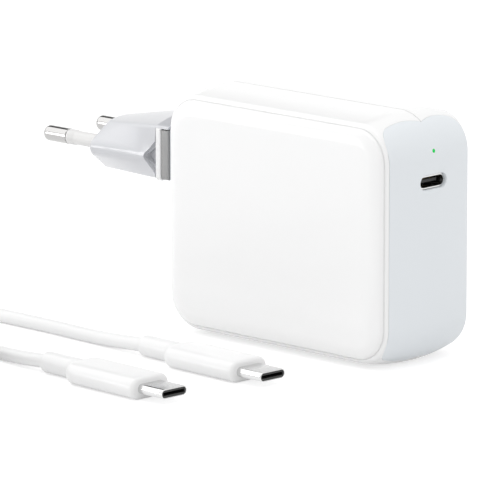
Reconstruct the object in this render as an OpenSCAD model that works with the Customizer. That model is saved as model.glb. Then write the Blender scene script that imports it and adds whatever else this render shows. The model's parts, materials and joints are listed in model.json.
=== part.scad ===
// USB-C laptop power adapter: a white two-shell housing with grey end panels,
// a detachable mains plug head that slides on a dock, and a USB-C cable with its
// slack wound in a coil. Millimetres. X runs from the plug to the port, Y through
// the thickness (front face towards -Y, seam at Y 0) and Z up. The origin is the
// middle of the flat that the housing stands on.

/* [Housing] */
// Length of the housing between its two ends
housing_w = 76; // [72:1:90]
// Height of the housing, from the flat it stands on to the top
housing_h = 61.5; // [58:0.5:76]
// Thickness of the housing between its two flat faces
housing_t = 33; // [31:0.5:36]
// Radius of the housing's four corners, seen from the front
corner_r = 11; // [10:0.5:13]
// Radius of the slight bulge of the top, bottom and ends across the thickness
crown_r = 60; // [50:1:80]
// Radius of the shoulder where a bulged side turns to the front
shoulder_r = 1.7; // [1.4:0.1:2]
// Thickness of the wall at the seam
wall = 2.6; // [2.2:0.1:3]

/* [End panels] */
// Width of the grey end panels across the thickness
panel_w = 28; // [27:0.5:28]
// How far a panel wraps over the top at the seam
panel_wrap = 4.3; // [3.5:0.1:5]

/* [Port and light] */
// Height of the USB-C port's centre
port_z = 45.2; // [30:0.1:47]
// Height of the charge light
led_z = 52.7; // [51:0.1:54]
// Diameter of the charge light's lens
led_d = 1; // [0.8:0.1:1.5]

/* [Plug head] */
// Height of the two round pins
pin_z = 42.6; // [42.4:0.1:43]
// Distance between the two pins' axes
pin_gap = 18.6; // [18:0.1:19.2]
// Length of the pins outside the plug body
pin_l = 18.5; // [18:0.1:20]
// Diameter of the pins' bare metal
pin_d = 4; // [3.9:0.01:4.1]
// Length of the plug body from its base plate to its nose
plug_l = 23.8; // [22:0.1:26]

/* [Cable] */
// Diameter of the cable
cable_d = 3.5; // [3.2:0.1:3.6]
// Radius of the coil's outer turn, to the middle of the cable
coil_r = 40; // [36:1:44]
// Turns in the coil, half of them inwards and half outwards
coil_turns = 8; // [6:1:9]

/* [Hidden] */
eps = 0.01;

// Housing: the section is drawn as (distance from the corner's axis, thickness)
foot_cut = 0.3;
pillow_h = housing_h + foot_cut;
pillow_z = (housing_h - foot_cut) / 2;
half_t = housing_t / 2;
face_w = 4.14;
face_arc_r = 7.5;
face_arc_a = 28;
face_edge_r = 1.2;
shoulder_y = 13.1 + half_t - 16.5;
shoulder_lap = 0.003;
shoulder_a = asin(shoulder_y / (crown_r - shoulder_r));
shoulder_x = corner_r - crown_r + (crown_r - shoulder_r) * cos(shoulder_a);
crease_a = 75;
crease_x = shoulder_x + shoulder_r * cos(crease_a);
crease_y = shoulder_y + shoulder_r * sin(crease_a);
crease_groove_r = 0.2;
seam_groove_w = 0.3;
seam_groove_depth = 0.35;
face_x = crease_x - face_w;
face_arc_end = [face_x + face_arc_r * sin(face_arc_a), half_t - face_arc_r * (1 - cos(face_arc_a))];
face_edge_c = face_arc_end - face_edge_r * [sin(face_arc_a), cos(face_arc_a)];
cavity_y = half_t - 2.2;
cavity_edge_r = 3.5;
tongue_t = 0.9;
tongue_h = 1.5;
tongue_gap = 0.1;
end_x = housing_w / 2;

// End panels: each edge is two shallow lobes with a dip at the seam
lobe_r = 24;
lobe_y = 8.5;
lobe_dip = lobe_r - sqrt(lobe_r * lobe_r - lobe_y * lobe_y);
lobe_x = panel_wrap + lobe_dip;
lobe_corner_r = 3.5;
lobe_corner_y = panel_w / 2 - lobe_corner_r;

// Boards and what they carry
board_y = 10.5;
board_t = 1.6;
board_size = [64, 46];
board_z = 30.5;
post_size = [26, 18];
output_board_x = 27.8;
output_board_t = 1.2;
led_chip_t = 0.8;
pipe_d = 2;
pipe_clear = 0.06;
pipe_shoulder_x = end_x - corner_r
  + sqrt(pow(corner_r - wall, 2) - pow(led_z + pipe_d / 2 - pillow_z - pillow_h / 2 + corner_r, 2));
core_size = [14, 20.4, 16];
leg_t = 5.2;
spool_size = [24, 13.8];
spool_low = 5.5;
spool_high = 14.5;
choke_r = 7.5;

// Port
port_shell_size = [8.94, 3.16];
port_shell_wall = 0.3;
port_front_x = end_x - 0.9;
port_hole_size = [9.3, 3.46];
port_tongue_size = [6.7, 0.7];
port_tongue_l = 4.6;
port_block_l = 3.2;
contact_count = 12;
contact_pitch = 0.5;

// Dock and plug head
dock_x = -end_x;
dock_size = [26, 13.2];
dock_z = 43.3;
dock_gap = 0.15;
stud_z = 41.3;
stud_d = 5;
stud_cap_d = 9;
stud_stem_l = 1.7;
stud_cap_t = 1.2;
prong_d = 2.4;
prong_y = 7.5;
prong_z = 46;
prong_l = 3.8;
neck_l = 2.45;
plate_t = 1.6;
plate_size = [26.8, 13.2];
plate_z = 43.1;
plate_top_z = plate_z + plate_size[1] / 2;
plate_corner_r = 1;
neck_inset = 0.3;
plate_front_x = dock_x - dock_gap - neck_l - plate_t;
nose_x = plate_front_x - plug_l;
slot_clear = 0.2;
pin_core_d = 3;
pin_sleeve_d = 3.6;
pin_sleeve_l = 10;
pin_sleeve_inner_l = 3;
pin_tip_r = 1.6;
pin_inner_l = 19;
pin_root_x = nose_x + pin_inner_l;
spring_t = 0.25;

// Plug body: half of its section as [half width, height, rounding] at the bottom
// corner, the ridge and the top corner, at the nose and at the base plate
body_nose = [[7.2, 35.9, 0.8], [13.9, 42.2, 1.4], [6, 47.5, 2.4]];
body_base = [[13.5, 37, 0.8], [14.1, 42.5, 1.4], [13.3, 50.1, 1.4]];
body_arch_nose = 0.8;
body_arch_base = 2.6;
body_rim_r = 0.5;
body_mid_z = 42.5;
body_half = 9;
body_steps = 8;
corner_steps = 4;
arch_steps = 4;
// Grip pocket beside the base plate: half heights at its tip and at the plate
pocket_z = 42.3;
pocket_l = 3.6;
pocket_half = [0.5, 4];
pocket_floor_y = 12.6;
pocket_step_l = 2.6;
pocket_step_half = [1.4, 2.9];
pocket_step_y = 11.6;
pocket_slit_t = 0.4;
pocket_slit_y = 10.5;
pocket_reach_y = 16;

// Cable and its two plugs
cable_r = cable_d / 2;
connector_z = 2.7;
connector_shell_size = [8.25, 2.4];
connector_shell_l = 8.1;
overmold_size = [25, 12.2, 5.4];
boot_d = 5.3;
boot_l = 11.5;
connector_l = connector_shell_l + overmold_size[0] + boot_l;
connector_a_tip = [24.7, -42.1];
connector_a_turn = -2.5;
connector_b_tip = [20, -70.7];
connector_b_turn = -2.5;
coil_centre = [-68, -106];
coil_pitch = 4;
coil_layer = 4.05;
coil_lead = cable_d;
coil_steps = 24;
cable_low = cable_r;
cable_high = cable_r + coil_layer;
run_a_points = [
  [-26, -39.8, 2.4], [-33, -39.3, 1.95], [-41, -38.8, cable_low], [-50, -38.3, cable_low],
  [-60, -38, cable_low], [-70, -38, cable_low], [-80, -38, cable_low], [-92, -38, cable_low],
  [-99, -39.9, cable_low], [-104, -45, cable_low], [-106, -52, cable_low], [-104, -59, 2.2],
  [-99, -64.1, 3.2], [-92, -66, 4.6], [-84, -66, 5.6], [-77, -66, cable_high], [-74, -66, cable_high]
];
run_b_points = [
  [-31, -68.4, 2.35], [-38, -67.6, 1.95], [-46, -66.6, cable_low],
  [-54, -66.1, cable_low], [-61, -66, cable_low]
];

// ---------- housing ----------

module side_section(grooves = true) {
  difference() {
    union() {
      intersection() {
        translate([corner_r - crown_r, 0]) circle(crown_r, $fn = 720);
        polygon([
          [0, -crown_r * sin(shoulder_a)], [corner_r + 1, -crown_r * sin(shoulder_a)],
          [corner_r + 1, crown_r * sin(shoulder_a)], [0, crown_r * sin(shoulder_a)]
        ]);
      }
      for (side = [-1, 1]) scale([1, side]) half_edge();
    }
    if (grooves) {
      for (side = [-1, 1]) translate([crease_x, side * crease_y]) circle(crease_groove_r, $fn = 24);
      polygon([
        [corner_r + 0.1, -seam_groove_w / 2 - 0.05], [corner_r - seam_groove_depth, 0],
        [corner_r + 0.1, seam_groove_w / 2 + 0.05]
      ]);
    }
  }
}

// One shoulder and the rolled edge of one flat face
module half_edge() {
  translate([shoulder_x, shoulder_y]) circle(shoulder_r + shoulder_lap, $fn = 96);
  translate(face_edge_c) circle(face_edge_r, $fn = 96);
  polygon([
    [0, 0], [shoulder_x, 0], [shoulder_x, shoulder_y], face_edge_c, face_arc_end,
    [face_x, half_t], [0, half_t]
  ]);
  intersection() {
    translate([face_x, half_t - face_arc_r]) circle(face_arc_r, $fn = 360);
    polygon([
      [face_x, half_t - face_arc_r], [face_x, half_t + 1],
      [face_x + (face_arc_r + 1) * tan(face_arc_a), half_t + 1]
    ]);
  }
}

module cavity_section() {
  inner = corner_r - wall;
  translate([0, -cavity_y + cavity_edge_r]) square([inner, 2 * (cavity_y - cavity_edge_r)]);
  translate([0, -cavity_y]) square([inner - cavity_edge_r, 2 * cavity_y]);
  for (side = [-1, 1])
    translate([inner - cavity_edge_r, side * (cavity_y - cavity_edge_r)]) circle(cavity_edge_r, $fn = 96);
}

module tongue_section(gap) {
  inner = corner_r - wall;
  translate([inner - eps, -eps]) square([tongue_t + gap + eps, tongue_h + gap + eps]);
}

// Carries a section round the housing's rounded rectangle
module swept_round(filled = true, thick = housing_t) {
  run_x = housing_w - 2 * corner_r;
  run_z = pillow_h - 2 * corner_r;
  translate([0, 0, pillow_z]) rotate([90, 0, 0]) {
    for (side = [0, 1]) {
      mirror([0, side, 0]) translate([-run_x / 2, run_z / 2, 0]) rotate([90, 0, 90])
        linear_extrude(run_x) children();
      mirror([side, 0, 0]) translate([run_x / 2, run_z / 2, 0]) rotate([90, 0, 0])
        linear_extrude(run_z) children();
    }
    for (turn = [0:3]) {
      x = (turn == 0 || turn == 3 ? 1 : -1) * run_x / 2;
      z = (turn < 2 ? 1 : -1) * run_z / 2;
      translate([x, z, 0]) rotate([0, 0, 90 * turn]) rotate_extrude(angle = 90, $fn = 96) children();
    }
    if (filled) cube([run_x, run_z, thick], center = true);
  }
}

module housing_body(grooves = true) {
  difference() {
    swept_round() side_section(grooves);
    swept_round(true, 2 * cavity_y) cavity_section();
    translate([-end_x, -half_t, -1 - foot_cut]) cube([housing_w, housing_t, 1 + foot_cut]);
  }
}

// Outline of an end panel seen from above, for the end at +X
module panel_outline() {
  translate([end_x - 2.5, -panel_w / 2]) square([4, panel_w]);
  for (side = [-1, 1]) {
    intersection() {
      translate([end_x - lobe_x + lobe_r, side * lobe_y]) circle(lobe_r, $fn = 360);
      translate([end_x - lobe_x - 1, side > 0 ? 0 : -lobe_corner_y]) square([lobe_x + 2, lobe_corner_y]);
    }
    translate([end_x - lobe_x + lobe_corner_r + 0.1, side * lobe_corner_y]) circle(lobe_corner_r, $fn = 96);
  }
  translate([end_x - 2.6, -lobe_corner_y]) square([4, 2 * lobe_corner_y]);
}

module panel_zone() {
  translate([0, 0, -2]) linear_extrude(housing_h + 4) panel_outline();
}

module both_panel_zones() {
  for (side = [0, 1]) mirror([side, 0, 0]) panel_zone();
}

module front_shell() color("white") {
  difference() {
    housing_body();
    translate([-end_x - 1, 0, -2]) cube([housing_w + 2, half_t + 1, housing_h + 4]);
    both_panel_zones();
  }
  difference() {
    mirror([0, 1, 0]) swept_round(false) tongue_section(0);
    both_panel_zones();
  }
}

module rear_shell() color("white") {
  difference() {
    housing_body();
    translate([-end_x - 1, -half_t - 1, -2]) cube([housing_w + 2, half_t + 1, housing_h + 4]);
    both_panel_zones();
    mirror([0, 1, 0]) swept_round(false) tongue_section(tongue_gap);
  }
  for (x = [-1, 1], z = [-1, 1])
    translate([x * post_size[0], board_y + board_t, board_z + z * post_size[1]])
      rotate([-90, 0, 0]) cylinder(h = cavity_y - board_y - board_t + eps, r = 2.4, $fn = 48);
}

module slot_2d(size) {
  r = size[1] / 2;
  for (side = [-1, 1]) translate([side * (size[0] / 2 - r), 0]) circle(r, $fn = 64);
  square([size[0] - 2 * r, size[1]], center = true);
}

// A slot lying across Y, extruded along X from x0 to x1 at height z
module slot_x(size, x0, x1, z) {
  translate([x0, 0, z]) rotate([90, 0, 90]) linear_extrude(x1 - x0) slot_2d(size);
}

module port_end_panel() color("gainsboro") difference() {
  intersection() {
    housing_body(false);
    panel_zone();
  }
  slot_x(port_hole_size, end_x - wall - 1, end_x + 1, port_z);
  translate([end_x - wall - 1, 0, led_z]) rotate([0, 90, 0]) cylinder(h = wall + 2, d = led_d, $fn = 48);
}

module plug_end_panel() color("gainsboro") {
  intersection() {
    housing_body(false);
    mirror([1, 0, 0]) panel_zone();
  }
  // Flat pad that the plug head slides on
  translate([dock_x, -dock_size[0] / 2, dock_z - dock_size[1] / 2])
    cube([wall / 2 + 0.4, dock_size[0], dock_size[1]]);
}

module dock_stud() color("silver") translate([dock_x, 0, stud_z]) rotate([0, -90, 0]) {
  cylinder(h = stud_stem_l, d = stud_d, $fn = 64);
  translate([0, 0, stud_stem_l]) cylinder(h = stud_cap_t, d = stud_cap_d, $fn = 96);
}

module inlet_prong(side) translate([dock_x, side * prong_y, prong_z]) rotate([0, -90, 0]) {
  cylinder(h = prong_l - 0.6, d = prong_d, $fn = 48);
  translate([0, 0, prong_l - 0.6]) cylinder(h = 0.6, d = prong_d - 0.8, $fn = 48);
}

module live_inlet_prong() color("silver") inlet_prong(-1);

module neutral_inlet_prong() color("silver") inlet_prong(1);

// ---------- port and light ----------

module port_shell() color("silver") difference() {
  slot_x(port_shell_size, output_board_x, port_front_x, port_z);
  slot_x(port_shell_size - 2 * [port_shell_wall, port_shell_wall],
         output_board_x - 1, port_front_x + 1, port_z);
}

module port_blades() {
  for (i = [0:contact_count - 1])
    translate([
      output_board_x + port_block_l, (i - (contact_count - 1) / 2) * contact_pitch - 0.12, port_z - 0.4
    ]) cube([port_tongue_l - 0.8, 0.24, 0.8]);
}

module port_tongue() color("dimgray") difference() {
  union() {
    slot_x(port_shell_size - 2 * [port_shell_wall, port_shell_wall], output_board_x,
           output_board_x + port_block_l, port_z);
    translate([
      output_board_x + port_block_l - eps, -port_tongue_size[0] / 2, port_z - port_tongue_size[1] / 2
    ]) cube([port_tongue_l, port_tongue_size[0], port_tongue_size[1]]);
  }
  port_blades();
}

module port_contacts() color("gold") port_blades();

// The pipe is cut to the panel's outside, and its shoulder meets the wall's inside
module light_pipe() color("palegreen") {
  translate([output_board_x + led_chip_t, 0, led_z]) rotate([0, 90, 0])
    cylinder(h = pipe_shoulder_x - output_board_x - led_chip_t, d = pipe_d, $fn = 48);
  intersection() {
    translate([pipe_shoulder_x - eps, 0, led_z]) rotate([0, 90, 0])
      cylinder(h = wall + 2, d = led_d - pipe_clear, $fn = 48);
    translate([end_x - corner_r, 2, pillow_z + pillow_h / 2 - corner_r]) rotate([90, 0, 0])
      cylinder(h = 4, r = corner_r, $fn = 96);
  }
}

module led_chip() color("lightyellow")
  translate([output_board_x, -0.8, led_z - 0.4]) cube([led_chip_t, 1.6, 0.8]);

// ---------- boards ----------

module main_board() color("darkgreen")
  translate([-board_size[0] / 2, board_y, board_z - board_size[1] / 2])
    cube([board_size[0], board_t, board_size[1]]);

module output_board() color("darkgreen")
  translate([output_board_x - output_board_t, -9, 38]) cube([output_board_t, board_y + 9, 16]);

module insulation_sheet() color("khaki")
  translate([-29, -cavity_y, 10]) cube([58, 0.4, 41]);

module heat_spreader() color("silver")
  translate([-27, -cavity_y + 0.4, 12]) cube([54, 0.8, 37]);

// Stands a piece on the main board, its height running towards the front
module on_board(x, z) {
  translate([x, board_y, z]) rotate([90, 0, 0]) children();
}

// A ferrite core of two E halves, whose middle leg stands in the spool
module transformer_core() color("dimgray") on_board(6, 30) difference() {
  translate([-core_size[0] / 2, -core_size[1] / 2, 2]) cube(core_size);
  for (side = [-1, 1])
    translate([0, side * (leg_t / 2 + spool_size[1] / 2) / 2, (spool_low + spool_high) / 2])
      cube([core_size[0] + 1, spool_size[1] / 2 - leg_t / 2, spool_high - spool_low], center = true);
}

module spool_ring(low, high, inset, hole) {
  translate([0, 0, low]) linear_extrude(high - low) difference() {
    square(spool_size - 2 * [inset, inset], center = true);
    square([core_size[0], leg_t] + 2 * [hole, hole], center = true);
  }
}

module transformer_bobbin() color("black") on_board(6, 30) {
  spool_ring(spool_low, spool_low + 0.8, 0, 0);
  spool_ring(spool_high - 0.8, spool_high, 0, 0);
  translate([0, 0, spool_low + 0.8 - eps]) linear_extrude(spool_high - spool_low - 1.6 + 2 * eps) difference() {
    square([core_size[0] + 1.2, leg_t + 1.2], center = true);
    square([core_size[0], leg_t], center = true);
  }
  for (side = [-1, 1])
    translate([side * (spool_size[0] / 2 - 1.25) - 1.25, -spool_size[1] / 2, 0])
      cube([2.5, spool_size[1], spool_low + eps]);
}

module transformer_winding() color("gold") on_board(6, 30)
  spool_ring(spool_low + 0.8, spool_high - 0.8, 0.5, 0.6);

module choke_core() color("dimgray") on_board(-21, 45) translate([0, 0, choke_r]) rotate([0, 90, 0])
  difference() {
    cylinder(h = 6, r = 6.5, center = true, $fn = 72);
    cylinder(h = 8, r = 3.4, center = true, $fn = 72);
  }

module choke_windings() color("chocolate") on_board(-21, 45) translate([0, 0, choke_r]) rotate([0, 90, 0])
  for (turn = [0:180:180]) rotate([0, 0, turn]) difference() {
    rotate([0, 0, -55]) rotate_extrude(angle = 110, $fn = 72)
      translate([3.4, -3.8]) square([choke_r - 3.4, 7.6]);
    cylinder(h = 6, r = 6.5, center = true, $fn = 72);
  }

module x_capacitor() color("gold") on_board(-23.5, 28) translate([-3.5, -7, 0]) cube([7, 14, 13]);

module bulk_capacitor(x, z) color("midnightblue") on_board(x, z) {
  cylinder(h = 20, r = 5, $fn = 64);
  translate([0, 0, 20]) cylinder(h = 0.4, r = 4.2, $fn = 64);
}

module bulk_capacitor_1() bulk_capacitor(-12.5, 16);

module bulk_capacitor_2() bulk_capacitor(-1.5, 13.4);

module y_capacitor() color("royalblue") on_board(16, 14) translate([0, 0, 4.2])
  rotate([0, 90, 0]) cylinder(h = 3.5, r = 4.2, center = true, $fn = 64);

module bridge_rectifier() color("black") on_board(-23.5, 13.5) translate([-4, -4.5, 0]) cube([8, 9, 3.4]);

module mains_fuse() color("saddlebrown") on_board(-9.5, 47) translate([-4, -4, 0]) cube([8, 8, 4.5]);

module switching_transistor() color("black") on_board(8, 44.4) translate([-5, -2.2, 0]) cube([10, 4.4, 9]);

module transistor_heat_sink() color("silver") on_board(8, 47.6) {
  translate([-9, -1, 0]) cube([18, 2, 17]);
  for (x = [-8:4:8]) translate([x - 0.5, 1, 3]) cube([1, 2.6, 14]);
}

module controller_chip() color("black") on_board(19, 51) translate([-3, -2, 0]) cube([5, 4, 1.6]);

module output_capacitors() color("silver")
  for (z = [19, 26.5, 34]) on_board(24.5, z) cylinder(h = 11, r = 3.4, $fn = 48);

// ---------- mains plug head ----------

// Outline of the base plate seen along X
module plate_2d(inset) {
  w = plate_size[0] - 2 * inset;
  h = plate_size[1] - 2 * inset;
  r = plate_corner_r;
  translate([0, plate_z]) {
    square([w, h - 2 * r], center = true);
    square([w - 2 * r, h], center = true);
    for (y = [-1, 1], z = [-1, 1]) translate([y * (w / 2 - r), z * (h / 2 - r)]) circle(r, $fn = 48);
  }
}

module plate_block(x0, x1, inset) {
  translate([x0, 0, 0]) rotate([90, 0, 90]) linear_extrude(x1 - x0) plate_2d(inset);
}

// Slots for the stud and the two prongs, open at the bottom so that the head slides up
module dock_slots() {
  low = plate_z - plate_size[1] / 2 - 1;
  stem_w = stud_d + 2 * slot_clear;
  cap_w = stud_cap_d + 2 * slot_clear;
  cap_x = dock_x - stud_stem_l - stud_cap_t - slot_clear;
  translate([cap_x, -stem_w / 2, low]) cube([5, stem_w, stud_z - low + stem_w / 2]);
  translate([cap_x, -cap_w / 2, low]) cube([stud_cap_t + 2 * slot_clear, cap_w, stud_z - low + cap_w / 2]);
  for (side = [-1, 1])
    translate([plate_front_x - 1, side * prong_y - prong_d / 2 - slot_clear, low])
      cube([6, prong_d + 2 * slot_clear, prong_z - low + prong_d / 2 + slot_clear]);
}

module plug_neck() color("silver") difference() {
  plate_block(plate_front_x + plate_t, dock_x - dock_gap, neck_inset);
  dock_slots();
}

module plug_base_plate() color("white") difference() {
  plate_block(plate_front_x, plate_front_x + plate_t, 0);
  dock_slots();
}

function unit(v) = v / norm(v);
function mix(a, b, t) = a + (b - a) * t;

// Arc of radius r that rounds corner b between its neighbours, turning left
function corner_arc(a, b, c, r) =
  let (
    u = unit(a - b), w = unit(c - b), half = acos(u * w) / 2,
    centre = b + r / sin(half) * unit(u + w), arm = b + r / tan(half) * u - centre
  )
  [for (k = [0:corner_steps])
    let (t = (180 - 2 * half) * k / corner_steps)
    centre + [arm[0] * cos(t) - arm[1] * sin(t), arm[0] * sin(t) + arm[1] * cos(t)]];

// Section of the plug body, t = 0 at the nose and 1 at the base plate: six rounded
// corners under an arched top, from the bottom round to the top and down again
function body_section(t) =
  let (
    low = mix(body_nose[0], body_base[0], t),
    ridge = mix(body_nose[1], body_base[1], t),
    top = mix(body_nose[2], body_base[2], t),
    rise = mix(body_arch_nose, body_arch_base, t),
    arch = [for (k = [1:arch_steps]) let (w = 1 - k / arch_steps) [top[0] * w, top[1] + rise * (1 - w * w)]],
    corners = [[0, low[1]], [low[0], low[1]], [ridge[0], ridge[1]], [top[0], top[1]], arch[0]],
    rounding = [0, low[2], ridge[2], top[2]],
    sides = [for (i = [1:3]) each corner_arc(corners[i - 1], corners[i], corners[i + 1], rounding[i])],
    half = concat(sides, arch)
  )
  concat(half, [for (i = [len(half) - 2:-1:0]) [-half[i][0], half[i][1]]]);

// Skin of triangles over equal rings that follow each other along X, closed at both ends
module skin(rings) {
  wide = len(rings[0]);
  last = (len(rings) - 1) * wide;
  walls = [
    for (i = [0:len(rings) - 2], k = [0:wide - 1], half = [0, 1])
      let (a = i * wide + k, b = i * wide + (k + 1) % wide)
      half == 0 ? [a, b + wide, b] : [a, a + wide, b + wide]
  ];
  ends = [for (k = [1:wide - 2], half = [0, 1]) half == 0 ? [0, k, k + 1] : [last, last + k + 1, last + k]];
  polyhedron(points = [for (ring = rings) each ring], faces = concat(walls, ends), convexity = 4);
}

// The plug body's solid, its nose rounded by rings that shrink towards the middle
module body_block() {
  rim = [
    for (a = [90, 60, 30]) [nose_x + body_rim_r * (1 - sin(a)), 1 - body_rim_r * (1 - cos(a)) / body_half]
  ];
  straight = [for (k = [0:body_steps]) [mix(nose_x + body_rim_r, plate_front_x, k / body_steps), 1]];
  skin([
    for (place = concat(rim, straight))
      let (x = place[0], s = place[1])
      [
        for (p = body_section(max(0, (x - nose_x) / plug_l)))
          [x, p[0] * s, body_mid_z + (p[1] - body_mid_z) * s]
      ]
  ]);
}

// The hood that carries the body's arched top over the base plate and neck
module body_hood() {
  translate([plate_front_x - eps, 0, 0]) rotate([90, 0, 90])
    linear_extrude(dock_x - dock_gap - plate_front_x + eps) intersection() {
      polygon(body_section(1));
      translate([-plate_size[0] / 2, plate_top_z]) square(plate_size);
    }
}

// A pocket cut into one side of the plug body, down to the floor, tapering to its tip
module side_pocket(side, length, half, floor_y) {
  x = plate_front_x;
  translate([0, side > 0 ? pocket_reach_y : -floor_y, 0]) rotate([90, 0, 0])
    linear_extrude(pocket_reach_y - floor_y)
    polygon([
      [x - length, pocket_z - half[0]], [x, pocket_z - half[1]], [x + 1, pocket_z - half[1]],
      [x + 1, pocket_z + half[1]], [x, pocket_z + half[1]], [x - length, pocket_z + half[0]]
    ]);
}

module grip_recess(side) {
  side_pocket(side, pocket_l, pocket_half, pocket_floor_y);
  side_pocket(side, pocket_step_l, pocket_step_half, pocket_step_y);
  side_pocket(side, pocket_slit_t, [pocket_half[1] - 0.4, pocket_half[1] - 0.2], pocket_slit_y);
}

module pin_bore(side) {
  translate([nose_x - 1, side * pin_gap / 2, pin_z]) rotate([0, 90, 0]) {
    cylinder(h = 1 + pin_inner_l, d = pin_core_d, $fn = 48);
    cylinder(h = 1 + pin_sleeve_inner_l, d = pin_sleeve_d, $fn = 48);
  }
}

module spring_tab(side) {
  translate([pin_root_x, side * 8.4 - 1.6, pin_z - 1]) cube([plate_front_x - pin_root_x, 3.2, 2]);
}

module plug_body() color("lightgray") difference() {
  union() {
    body_block();
    body_hood();
  }
  for (side = [-1, 1]) {
    grip_recess(side);
    pin_bore(side);
    spring_tab(side);
  }
}

module mains_pin(side) translate([0, side * pin_gap / 2, pin_z]) {
  bare = pin_l - pin_sleeve_l - pin_tip_r;
  translate([nose_x - pin_sleeve_l, 0, 0]) rotate([0, 90, 0])
    cylinder(h = pin_sleeve_l + pin_inner_l, d = pin_core_d, $fn = 48);
  translate([nose_x - pin_sleeve_l - bare, 0, 0]) rotate([0, 90, 0]) cylinder(h = bare, d = pin_d, $fn = 64);
  translate([nose_x - pin_sleeve_l - bare, 0, 0]) rotate([0, -90, 0])
    rotate_extrude($fn = 64) intersection() {
    union() {
      square([pin_d / 2 - pin_tip_r, pin_tip_r]);
      translate([pin_d / 2 - pin_tip_r, 0]) circle(pin_tip_r, $fn = 64);
    }
    square([pin_d, pin_tip_r]);
  }
}

module live_pin() color("silver") mains_pin(-1);

module neutral_pin() color("silver") mains_pin(1);

module pin_sleeve(side) translate([nose_x - pin_sleeve_l, side * pin_gap / 2, pin_z]) rotate([0, 90, 0])
  difference() {
    cylinder(h = pin_sleeve_l + pin_sleeve_inner_l, d = pin_sleeve_d, $fn = 48);
    translate([0, 0, -1]) cylinder(h = pin_sleeve_l + pin_sleeve_inner_l + 2, d = pin_core_d, $fn = 48);
  }

module live_pin_sleeve() color("whitesmoke") pin_sleeve(-1);

module neutral_pin_sleeve() color("whitesmoke") pin_sleeve(1);

module contact_spring(side) {
  spring_tab(side);
  translate([plate_front_x, side * prong_y - 1.2, prong_z - 5]) cube([spring_t, 2.4, 6]);
}

module live_contact_spring() color("gold") contact_spring(-1);

module neutral_contact_spring() color("gold") contact_spring(1);

// ---------- USB-C cable ----------

// Places a connector with its mouth at tip, facing +X before the turn
module connector_place(tip, turn) {
  translate([tip[0], tip[1], connector_z]) rotate([0, 0, turn]) children();
}

module connector_shell_part() difference() {
  slot_x(connector_shell_size, -connector_shell_l - 2, 0, 0);
  slot_x(connector_shell_size - [0.6, 0.6], -connector_shell_l - 3, 1, 0);
}

module connector_insert_part() difference() {
  slot_x(connector_shell_size - [0.6, 0.6], -connector_shell_l - 2, -0.2, 0);
  translate([-connector_shell_l, -3.4, -0.4]) cube([connector_shell_l + 1, 6.8, 0.8]);
}

module connector_overmold_part() {
  l = overmold_size[0];
  w = overmold_size[1];
  t = overmold_size[2];
  difference() {
    translate([-connector_shell_l, 0, 0]) hull() {
      for (y = [-1, 1]) {
        translate([-0.8, y * (w / 2 - t / 2), 0]) sphere(t / 2 - 0.8, $fn = 24);
        translate([-1, y * (w / 2 - t / 2), 0]) rotate([0, -90, 0]) cylinder(h = 1, r = t / 2, $fn = 24);
        translate([-l + t / 2, y * (w / 2 - t / 2), 0]) sphere(t / 2, $fn = 24);
      }
      translate([-eps, 0, 0]) rotate([90, 0, 90]) linear_extrude(eps) slot_2d([w - 1.2, t - 1.2]);
      translate([-l, 0, 0]) rotate([0, 90, 0]) cylinder(h = eps, r = 2.3, $fn = 24);
    }
    slot_x(connector_shell_size, -connector_shell_l - 2, 1, 0);
  }
}

module connector_boot_part() translate([-connector_shell_l - overmold_size[0], 0, 0]) rotate([0, -90, 0])
  rotate_extrude($fn = 64) {
    square([boot_d / 2, boot_l - 0.8]);
    square([boot_d / 2 - 0.8, boot_l]);
    intersection() {
      translate([boot_d / 2 - 0.8, boot_l - 0.8]) circle(0.8, $fn = 48);
      square([boot_d, boot_l]);
    }
  }

module connector_a_shell() color("silver")
  connector_place(connector_a_tip, connector_a_turn) connector_shell_part();

module connector_a_insert() color("black")
  connector_place(connector_a_tip, connector_a_turn) connector_insert_part();

module connector_a_overmold() color("white")
  connector_place(connector_a_tip, connector_a_turn) connector_overmold_part();

module connector_a_boot() color("white")
  connector_place(connector_a_tip, connector_a_turn) connector_boot_part();

module connector_b_shell() color("silver")
  connector_place(connector_b_tip, connector_b_turn) connector_shell_part();

module connector_b_insert() color("black")
  connector_place(connector_b_tip, connector_b_turn) connector_insert_part();

module connector_b_overmold() color("white")
  connector_place(connector_b_tip, connector_b_turn) connector_overmold_part();

module connector_b_boot() color("white")
  connector_place(connector_b_tip, connector_b_turn) connector_boot_part();

// Where a cable leaves its boot, and a point a little further along the same line
function boot_end(tip, turn, more) =
  let (l = connector_l + more)
  [tip[0] - l * cos(turn), tip[1] - l * sin(turn), connector_z];

// A smooth curve through route points: Catmull-Rom, three rings to each stretch
function route_at(p, i) = p[max(0, min(len(p) - 1, i))];
function curve_at(p, i, t) =
  let (a = route_at(p, i - 1), b = route_at(p, i), c = route_at(p, i + 1), d = route_at(p, i + 2))
  0.5 * (2 * b + (c - a) * t + (2 * a - 5 * b + 4 * c - d) * t * t + (3 * b - a - 3 * c + d) * t * t * t);
function smooth(p, steps) = [
  for (i = [0:len(p) - 2], k = [0:steps - 1]) curve_at(p, i, k / steps), p[len(p) - 1]
];

function path_dir(p, i) = unit(p[min(len(p) - 1, i + 1)] - p[max(0, i - 1)]);
function path_length(p) = len(p) < 2 ? 0 : [for (i = 1, s = norm(p[1] - p[0]); i < len(p);
  i = i + 1, s = s + (i < len(p) ? norm(p[i] - p[i - 1]) : 0)) s][len(p) - 2];

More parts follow.
